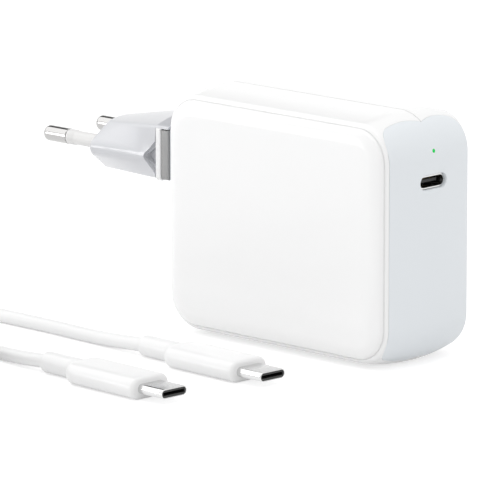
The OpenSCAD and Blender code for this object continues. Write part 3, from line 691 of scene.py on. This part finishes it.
plugHead = {
    # half width, height and rounding of the bottom corner, the ridge and the top corner
    "nose": ((7.2, 35.9, 0.8), (14.5, 41.8, 2.4), (6.0, 47.5, 2.4)),
    "base": ((13.5, 37.0, 0.8), (14.1, 41.8, 4.6), (13.3, 50.1, 1.4)),
    "archNose": 0.8,  # rise of the top above its corners
    "archBase": 2.6,
    "noseRadius": 0.6,
    "middleZ": 42.5,  # the nose's rounding draws in to this height
    "halfSpan": 9.0,
    "plateSize": (26.8, 13.2),
    "plateZ": 43.1,
    "plateRadius": 1.0,
    "plateTopRadius": 0.3,
    "edge": 0.25,
    "neckInset": 0.3,
    "dockGap": 0.15,  # between the neck and the dock
    "hoodLift": 0.05,  # the outline's points nearer than this to the hood's foot are left out
    "hoodFlare": 0.01,  # how far the foot stands out past them
    "hoodBand": 0.15,
    "overlap": 0.02,  # of the hood with the body that it is joined to
    "stations": (0.02, 0.2, 0.4, 0.6, 0.8, 0.98, 1),  # shares of the length behind the rounded nose
    "straightStops": (0.05, 0.5, 0.95),  # shares of each straight stretch of the outline
}
bodyLow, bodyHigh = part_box("plug_body")
plateLow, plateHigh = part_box("plug_base_plate")
noseX, plateX, neckX, hoodX = bodyLow.x / mm, plateLow.x / mm, plateHigh.x / mm, bodyHigh.x / mm
hoodZ = plugHead["plateZ"] + plugHead["plateSize"][1] / 2


# the arc that rounds a corner between its neighbours, turning left
def filletArc(before, corner, after, radius, steps=7):
    u, w = (before - corner).normalized(), (after - corner).normalized()
    half = u.angle(w) / 2
    centre = corner + (u + w).normalized() * (radius / math.sin(half))
    arm = corner + u * (radius / math.tan(half)) - centre
    sweep = math.pi - 2 * half
    arc = []
    for k in range(steps + 1):
        c, s = math.cos(sweep * k / steps), math.sin(sweep * k / steps)
        arc.append(centre + Vector((arm.x * c - arm.y * s, arm.x * s + arm.y * c)))
    return arc


# the body's outline at t = 0, the nose, to t = 1, the base plate
def bodySection(t, h, archSteps=12):
    low, ridge, top = [Vector(a).lerp(Vector(b), t) for a, b in zip(h["nose"], h["base"])]
    rise = h["archNose"] + (h["archBase"] - h["archNose"]) * t
    arch = []
    for k in range(1, archSteps + 1):
        w = 1 - k / archSteps
        arch.append(Vector((top.x * w, top.y + rise * (1 - w * w))))
    path = [Vector((0, low.y)), low.xy, ridge.xy, top.xy, arch[0]]
    half = [path[0]]
    for i, corner in ((1, low), (2, ridge), (3, top)):
        arc = filletArc(path[i - 1], path[i], path[i + 1], corner.z)
        half += [half[-1].lerp(arc[0], w) for w in h["straightStops"]] + arc
    half += arch
    return half + [Vector((-p.x, p.y)) for p in reversed(half[1:-1])]


# distances along an edge that is rounded over, each with how far the outline draws in there
def roundedEdge(radius, steps=6):
    turns = [math.radians(90 * k / steps) for k in range(steps + 1)]
    return [(radius * (1 - math.sin(a)), radius * (1 - math.cos(a))) for a in reversed(turns)]


def bodySolid(h):
    length, radius, middle = plateX - noseX, h["noseRadius"], h["middleZ"]
    places = roundedEdge(radius)
    places += [(radius + (length - radius) * w, 0) for w in h["stations"]]
    rings = []
    for along, inset in places:
        scale = 1 - inset / h["halfSpan"]
        outline = bodySection(along / length, h)
        rings.append([(noseX + along, p.x * scale, middle + (p.y - middle) * scale) for p in outline])
    return loft(rings)


# the arched top carried on over the base plate and the neck
def hoodSolid(h):
    outline = [p for p in bodySection(1, h) if p.y > hoodZ + h["hoodLift"]]
    edge = Vector((outline[0].x + h["hoodFlare"], hoodZ))
    outline = [tuple(p) for p in [edge] + outline + [Vector((-edge.x, edge.y))]]
    return loft([acrossX(outline, x) for x in (plateX - h["overlap"], hoodX - h["hoodBand"], hoodX)])


pocket = {
    # tip's distance from the plate, half height at the plate, tip radius, floor's distance from the middle
    "steps": ((4.11, 4.0, 1.1, 12.6), (3.9, 2.9, 0.9, 11.6), (0.4, 3.6, 0.0, 10.5)),
    "z": 42.3,
    "outside": 16.0,  # the first cut starts here, outside the body
    "overlap": 0.01,  # of each cut with the one before
}


# one side's pocket: each step cuts further in, and the last is a slit along the plate
def pocketCutter(side, step, start, p=pocket):
    reach, half, radius, floor = step
    if radius:
        corners = [(1, -half, 0), (1, half, 0), (0, half, 0), (-reach, 0, radius), (0, -half, 0)]
    else:
        corners = [(1, -half, 0), (1, half, 0), (-reach, half, 0), (-reach, -half, 0)]
    outline = roundedOutline(corners, 8, 1)
    rings = []
    for y in (start, floor):
        rings.append([(plateX + x, side * y, p["z"] + z) for x, z in outline])
    return loft(rings)


def boreCutter(side, radius, depth):
    circle = pill(2 * radius + 0.001, 2 * radius, 24)
    rings = [acrossX(circle, x) for x in (noseX - pin["before"], noseX + depth)]
    return loft([[(x, y + side * pin["gap"] / 2, z + pin["z"]) for x, y, z in ring] for ring in rings])


pin = {
    "gap": 18.6,
    "z": 42.6,
    "radius": 2.0,
    "core": 1.5,
    "tipRadius": 1.6,
    "sleeveRadius": 1.8,
    "edge": 0.1,  # bevel of the pin's and the sleeve's ends
    "collar": (1.95, 2.2),  # radius and length of the sleeve's first stretch
    "collarStops": (0.25, 0.5),  # distances behind the collar
    "groove": 0.12,
    "lead": 0.3,  # length of the pin's stretch before its groove, and behind its tip
    "before": 1,  # the bores start this far in front of the nose
}
pinLow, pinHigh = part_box("live_pin")
sleeveLow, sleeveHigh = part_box("live_pin_sleeve")
tipX, bareX, rootX, sleeveX = pinLow.x / mm, sleeveLow.x / mm, pinHigh.x / mm, sleeveHigh.x / mm


# rings of a turned piece on one pin's axis
def turned(profile, side, sides=40):
    rings = []
    for x, r in profile:
        ring = []
        for k in range(sides):
            a = 2 * math.pi * k / sides
            ring.append((x, side * pin["gap"] / 2 + r * math.cos(a), pin["z"] + r * math.sin(a)))
        rings.append(ring)
    return rings


def pinSolid(side, p=pin):
    radius, tip, edge = p["radius"], p["tipRadius"], p["edge"]
    profile = [(tipX, radius - tip)]
    for k in range(1, 10):
        a = math.radians(10 * k)
        profile.append((tipX + tip * (1 - math.cos(a)), radius - tip * (1 - math.sin(a))))
    end = bareX - p["groove"]
    profile += [(tipX + tip + p["lead"], radius), (end - p["lead"], radius)]
    profile += [(end - edge, radius), (end, radius - edge), (end, p["core"]), (rootX, p["core"])]
    return loft(turned(profile, side))


def sleeveSolid(side, p=pin):
    collar, length = p["collar"]
    edge, radius = p["edge"], p["sleeveRadius"]
    profile = [(bareX, p["core"]), (bareX, collar - edge), (bareX + edge, collar), (bareX + length, collar)]
    profile += [(bareX + length + beyond, radius) for beyond in p["collarStops"]]
    profile += [(sleeveX, radius), (sleeveX, p["core"])]
    return loft(turned(profile, side), closed=True)


def plateSolid(h, x0, x1, inset):
    size = [v - 2 * inset for v in h["plateSize"]]
    rings = []
    edge = roundedEdge(h["edge"], 4)
    places = [(x0 + along, shrink) for along, shrink in edge]
    places += [(x1 - along, shrink) for along, shrink in reversed(edge)]
    for x, shrink in places:
        y, z = size[0] / 2 - shrink, size[1] / 2 - shrink
        low, top = h["plateRadius"] - shrink / 2, h["plateTopRadius"]
        outline = roundedOutline([(y, -z, low), (y, z, top), (-y, z, top), (-y, -z, low)], 6, 4)
        rings.append([(x, y, z + h["plateZ"]) for y, z in outline])
    return loft(rings)


dockSlots = {
    "studZ": 41.3,
    "stem": 5.4,  # width of the slot for the stud's stem
    "cap": 9.4,
    "capDepth": 3.1,  # from the dock to the far side of the cap's slot
    "capThick": 1.6,
    "prongY": 7.5,
    "prongZ": 46.0,
    "prong": 2.8,
    "beyond": 1,  # how far the cutters stand out of the head
}


def boxSolid(low, high):
    outline = [(low[1], low[2]), (high[1], low[2]), (high[1], high[2]), (low[1], high[2])]
    return loft([acrossX(outline, x) for x in (low[0], high[0])])


# slots open at the bottom, so that the head slides up off the stud and the prongs
def slotCutters(d):
    bottom = plugHead["plateZ"] - plugHead["plateSize"][1] / 2 - d["beyond"]
    back = -endX + d["beyond"]
    capX = -endX - d["capDepth"]
    stem, cap, prong = d["stem"] / 2, d["cap"] / 2, d["prong"] / 2
    boxes = [
        ((capX, -stem, bottom), (back, stem, d["studZ"] + stem)),
        ((capX, -cap, bottom), (capX + d["capThick"], cap, d["studZ"] + cap)),
    ]
    for side in (-1, 1):
        y = side * d["prongY"]
        boxes.append(((plateX - d["beyond"], y - prong, bottom), (back, y + prong, d["prongZ"] + prong)))
    return [boxSolid(*box) for box in boxes]


bodyCuts = []
for side in (-1, 1):
    start = pocket["outside"]
    for step in pocket["steps"]:
        bodyCuts.append(pocketCutter(side, step, start))
        start = step[3] + pocket["overlap"]
    bodyCuts.append(boreCutter(side, pin["sleeveRadius"], sleeveX - noseX))
    bodyCuts.append(boreCutter(side, pin["core"], rootX - noseX))
slots = slotCutters(dockSlots)
plate = plateSolid(plugHead, plateX, neckX, 0)
neck = plateSolid(plugHead, neckX, -endX - plugHead["dockGap"], plugHead["neckInset"])
addPiece("plugBody", *bodySolid(plugHead), "plug_head", "plug_grey", ["plug_body"],
         added=[hoodSolid(plugHead)], bore=bodyCuts)
addPiece("basePlate", *plate, "plug_head", "base_plate_white", ["plug_base_plate"], bore=slots)
addPiece("plugNeck", *neck, "plug_head", "neck_grey", ["plug_neck"], bore=slots)
for label, side in (("live", -1), ("neutral", 1)):
    addPiece(label + "Pin", *pinSolid(side), "plug_head", "pin_chrome", [label + "_pin"])
    addPiece(label + "Sleeve", *sleeveSolid(side), "plug_head", "sleeve_white", [label + "_pin_sleeve"])
print("Plug head made")


# cable: one cord from plug to plug, its spare length wound in a flat coil

cable = {
    "diameter": 3.5,
    "height": 2.7,  # of the plugs' middle
    "plugLength": 44.6,  # mouth to boot end
    "plugA": {"tip": (24.7, -42.1), "turn": -2.5},
    "plugB": {"tip": (20.0, -70.7), "turn": -2.5},
    "coilCentre": (-68.0, -106.0),
    "coilRadius": 40.0,
    "turns": 8,
    "pitch": 4.0,
    "layer": 4.05,
    "stepsPerTurn": 72,
    "runSteps": 6,  # between two points of a run
    "lead": 1.5,  # straight stretch out of each boot
    "climbFrom": 0.25,  # turns before the middle one at which the coil starts to climb to its second layer
    "climbTurns": 0.5,
}
low = cable["diameter"] / 2
high = low + cable["layer"]
runA = [
    (-26, -39.8, 2.4), (-33, -39.3, 1.95), (-41, -38.8, low), (-50, -38.3, low),
    (-60, -38, low), (-70, -38, low), (-80, -38, low), (-92, -38, low),
    (-99, -39.9, low), (-104, -45, low), (-106, -52, low), (-104, -59, 2.2),
    (-99, -64.1, 3.2), (-92, -66, 4.6), (-84, -66, 5.6), (-77, -66, high), (-74, -66, high),
]
runB = [(-31, -68.4, 2.35), (-38, -67.6, 1.95), (-46, -66.6, low), (-54, -66.1, low), (-61, -66, low)]


def plugEnd(plug, more=0.0):
    a = math.radians(plug["turn"])
    length = cable["plugLength"] + more
    x, y = plug["tip"]
    return Vector((x - length * math.cos(a), y - length * math.sin(a), cable["height"]))


# a smooth curve through all the points
def smoothRoute(points, steps):
    route = [Vector(p) for p in points]
    line = []
    for i in range(len(route) - 1):
        a, b, c, d = route[max(0, i - 1)], route[i], route[i + 1], route[min(len(route) - 1, i + 2)]
        for k in range(steps):
            t = k / steps
            square, cube = 2 * a - 5 * b + 4 * c - d, 3 * b - a - 3 * c + d
            line.append(0.5 * (2 * b + (c - a) * t + square * t ** 2 + cube * t ** 3))
    return line + [route[-1]]


# the coil winds in along the floor, then out again on top
def coilLine(c):
    line = []
    middle = c["turns"] / 2
    for i in range(c["turns"] * c["stepsPerTurn"] + 1):
        turn = i / c["stepsPerTurn"]
        r = c["coilRadius"] - c["pitch"] * (middle - abs(turn - middle))
        climb = max(0, min(1, (turn - middle + c["climbFrom"]) / c["climbTurns"]))
        a = math.radians(90 + 360 * turn)
        z = low + c["layer"] * (3 * climb ** 2 - 2 * climb ** 3)
        line.append(Vector((c["coilCentre"][0] + r * math.cos(a), c["coilCentre"][1] + r * math.sin(a), z)))
    return line


def cableLine():
    lines = []
    for plug, run in ((cable["plugA"], runA), (cable["plugB"], runB)):
        lines.append([plugEnd(plug)] + smoothRoute([plugEnd(plug, cable["lead"])] + run, cable["runSteps"]))
    return lines[0] + coilLine(cable)[::-1] + lines[1][::-1]


def makeCable():
    line = cableLine()
    curve = bpy.data.curves.new("cable", "CURVE")
    curve.dimensions = "3D"
    curve.bevel_depth = cable["diameter"] / 2 * mm
    curve.bevel_resolution = 5
    curve.use_fill_caps = True
    spline = curve.splines.new("POLY")
    spline.points.add(len(line) - 1)
    for point, p in zip(spline.points, line):
        point.co = (*(p * mm), 1)
    spline.use_smooth = True
    piece = bpy.data.objects.new("cable", curve)
    scene.collection.objects.link(piece)
    curve.materials.append(finishes["cable_white"])
    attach(piece, "housing")
    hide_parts("cable_run_a", "cable_coil", "cable_run_b")
    length = sum((q - p).length for p, q in zip(line, line[1:])) * mm
    return piece, length


cablePiece, cableLength = makeCable()
print("Cable made, %.3f m" % cableLength)


# cable plugs: overmould, boot and metal shell

cablePlug = {
    "shell": (8.25, 2.4),
    "shellWall": 0.3,
    "shellLength": 8.1,
    "mould": (25.0, 12.2, 5.4),
    "frontRadius": 0.9,
    "rearRadius": 3.4,
    "bootDiameter": 5.3,
    "bootLength": 11.5,
    "bootRadius": 0.9,
    "inside": 2.0,  # the shell starts this far inside the overmould
    "squeeze": (1.1, 0.4),  # how much thinner the tail gets, and the sine at which that starts
    "tailSteps": (0.2, 0.6, 0.8),  # how much less than the boot the tail's width, thickness and end are
    "bootSeat": ((0.6, 0.35), (0.12, 0.12), (0, 0)),  # reach into the overmould, and how much thinner there
}


def placed(points, plug):
    turn = Matrix.Rotation(math.radians(plug["turn"]), 3, "Z")
    tip = Vector((plug["tip"][0], plug["tip"][1], cable["height"]))
    return [turn @ Vector(p) + tip for p in points]


def mouldSolid(c):
    length, width, thick = c["mould"]
    front, rear = c["frontRadius"], c["rearRadius"]
    x0 = -c["shellLength"]
    rings = [(x, *c["shell"]) for x in (x0 - c["inside"], x0)]
    for k in range(7):
        a = math.radians(90 * k / 6)
        inset = 2 * front * (1 - math.sin(a))
        rings.append((x0 - front * (1 - math.cos(a)), width - inset, thick - inset))
    for k in range(1, 6):
        rings.append((x0 - front - (length - front - rear) * k / 6, width, thick))
    leastWidth, leastThick, endWidth = [c["bootDiameter"] - step for step in c["tailSteps"]]
    most, sine = c["squeeze"]
    for k in range(11):
        a = math.radians(90 * k / 10)
        inset = 2 * rear * (1 - math.cos(a))
        squeeze = most * (max(0, math.sin(a) - sine) / (1 - sine)) ** 2
        x = x0 - length + rear * (1 - math.sin(a))
        rings.append((x, max(leastWidth, width - inset), max(leastThick, thick - squeeze)))
    rings.append((x0 - length, endWidth, endWidth))
    return loft([acrossX(pill(w, t), x) for x, w, t in rings])


def bootSolid(c):
    x0 = -c["shellLength"] - c["mould"][0]
    r, edge = c["bootDiameter"] / 2, c["bootRadius"]
    rings = [(x0 + reach, r - thinner) for reach, thinner in c["bootSeat"]]
    rings += [(x0 - (c["bootLength"] - edge) * k / 5, r) for k in range(1, 5)]
    for k in range(7):
        a = math.radians(90 * k / 6)
        rings.append((x0 - c["bootLength"] + edge * (1 - math.sin(a)), r - edge * (1 - math.cos(a))))
    return loft([acrossX(pill(2 * q + 0.001, 2 * q), x) for x, q in rings])


def steelSolid(c):
    width, thick = c["shell"]
    wall, length = c["shellWall"], c["shellLength"]
    lip, start = wall / 2, -length - c["inside"]
    rings = [(start, 0), (-length, 0), (-length / 2, 0)]
    for k in range(9):
        a = math.radians(180 * k / 8)
        rings.append((-lip + lip * math.sin(a), lip * (1 - math.cos(a))))
    rings += [(-length / 2, wall), (start, wall)]
    outlines = [acrossX(pill(width - 2 * inset, thick - 2 * inset, 16), x) for x, inset in rings]
    return loft(outlines, closed=True)


for letter, plug in (("a", cable["plugA"]), ("b", cable["plugB"])):
    for label, solid, slotName, node in (
        ("Mould", mouldSolid, "cable_plug_white", "overmold"),
        ("Boot", bootSolid, "cable_plug_white", "boot"),
        ("Shell", steelSolid, "bare_metal", "shell"),
    ):
        points, faces = solid(cablePlug)
        addPiece("plug" + letter.upper() + label, placed(points, plug), faces, "housing", slotName,
                 ["connector_%s_%s" % (letter, node)], sharpAngle=50)
print("Cable plugs made")


# stage: a pale floor under a white surround, and soft lamps

stage = {
    "floorSize": 30.0,
    "floorColor": (0.5, 0.5, 0.502, 1),
    "floorBounce": (0.86, 0.86, 0.86, 1),  # what the floor throws back at the object
    "floorLift": 0.66,  # glow that makes the floor in view end white
    "floorDrift": 0.98,  # how much darker its clouds are
    "floorRoughness": 0.9,
    "floorSheen": 0.1,
    "worldSeen": 1.0,
    "worldLight": 0.81,
}
flag = {
    # a dark card up behind the plug, which draws the dark line along the pins
    "toward": (-0.674, 0.42, 0.607),
    "inner": 6,  # degrees from its middle where it starts to fade
    "outer": 20,
    "level": 0.1,
}


# what the camera, gloss and glass see, against what lights everything else
def mixByRay(tree, seen, other, output):
    rays = tree.nodes.new("ShaderNodeLightPath").outputs
    first = maths(tree, "MAXIMUM", rays["Is Camera Ray"], rays["Is Glossy Ray"])
    mask = maths(tree, "MAXIMUM", first, rays["Is Transmission Ray"])
    mix = tree.nodes.new("ShaderNodeMixShader")
    tree.links.new(mask, mix.inputs["Fac"])
    tree.links.new(other, mix.inputs[1])
    tree.links.new(seen, mix.inputs[2])
    tree.links.new(mix.outputs[0], output)


def makeFloor():
    half = stage["floorSize"] / 2
    mesh = bpy.data.meshes.new("floor")
    corners = [(-half, -half, 0), (half, -half, 0), (half, half, 0), (-half, half, 0)]
    mesh.from_pydata(corners, [], [(0, 1, 2, 3)])
    floor = bpy.data.objects.new("floor", mesh)
    scene.collection.objects.link(floor)
    material = bpy.data.materials.new("paleFloor")
    material.use_nodes = True
    tree = material.node_tree
    shader = tree.nodes["Principled BSDF"]
    place = tree.nodes.new("ShaderNodeTexCoord").outputs["Object"]
    base = stage["floorColor"]
    darker = tuple(stage["floorDrift"] * c for c in base[:3]) + (1,)
    tree.links.new(tint(tree, noise(tree, place, 3.0), base, darker), shader.inputs["Base Color"])
    shader.inputs["Roughness"].default_value = stage["floorRoughness"]
    shader.inputs["Specular IOR Level"].default_value = stage["floorSheen"]
    glow = tree.nodes.new("ShaderNodeEmission")
    glow.inputs["Strength"].default_value = stage["floorLift"]
    both = tree.nodes.new("ShaderNodeAddShader")
    tree.links.new(shader.outputs[0], both.inputs[0])
    tree.links.new(glow.outputs[0], both.inputs[1])
    bounce = tree.nodes.new("ShaderNodeBsdfDiffuse")
    bounce.inputs["Color"].default_value = stage["floorBounce"]
    mixByRay(tree, both.outputs[0], bounce.outputs[0], tree.nodes["Material Output"].inputs["Surface"])
    mesh.materials.append(material)


def makeWorld():
    world = bpy.data.worlds.new("surround")
    world.use_nodes = True
    tree = world.node_tree
    lit = tree.nodes["Background"]
    lit.inputs["Color"].default_value = (1, 1, 1, 1)
    lit.inputs["Strength"].default_value = stage["worldLight"]
    seen = tree.nodes.new("ShaderNodeBackground")
    seen.inputs["Strength"].default_value = stage["worldSeen"]
    toward = tree.nodes.new("ShaderNodeVectorMath")
    toward.operation = "DOT_PRODUCT"
    tree.links.new(tree.nodes.new("ShaderNodeTexCoord").outputs["Generated"], toward.inputs[0])
    toward.inputs[1].default_value = flag["toward"]
    fade = tree.nodes.new("ShaderNodeMapRange")
    fade.interpolation_type = "SMOOTHSTEP"
    fade.inputs["From Min"].default_value = math.cos(math.radians(flag["outer"]))
    fade.inputs["From Max"].default_value = math.cos(math.radians(flag["inner"]))
    tree.links.new(toward.outputs["Value"], fade.inputs["Value"])
    tree.links.new(tint(tree, fade.outputs["Result"], rgb(1.0), rgb(flag["level"])), seen.inputs["Color"])
    mixByRay(tree, seen.outputs[0], lit.outputs[0], tree.nodes["World Output"].inputs["Surface"])
    scene.world = world


lamps = {
    "top": {"from": (0.2, -0.1, 1.2), "size": 1.2, "watts": 3.8},
    "left": {"from": (-0.95, -0.35, 0.9), "size": 1.3, "watts": 3.3},
    "frontLeft": {"from": (-1.0, -1.05, 0.12), "size": 0.5, "watts": 3.6},
}
lampAim = Vector((0, 0, 0.03))


def makeLamp(name, lamp):
    light = bpy.data.lights.new(name, "AREA")
    light.shape = "DISK"
    light.size = lamp["size"]
    light.energy = lamp["watts"]
    holder = bpy.data.objects.new(name, light)
    scene.collection.objects.link(holder)
    holder.location = lamp["from"]
    holder.rotation_mode = "QUATERNION"
    holder.rotation_quaternion = (lampAim - holder.location).to_track_quat("-Z", "Y")


makeFloor()
makeWorld()
for lampName, lamp in lamps.items():
    makeLamp(lampName, lamp)
scene.view_settings.view_transform = "Standard"
print("Stage and lamps made")
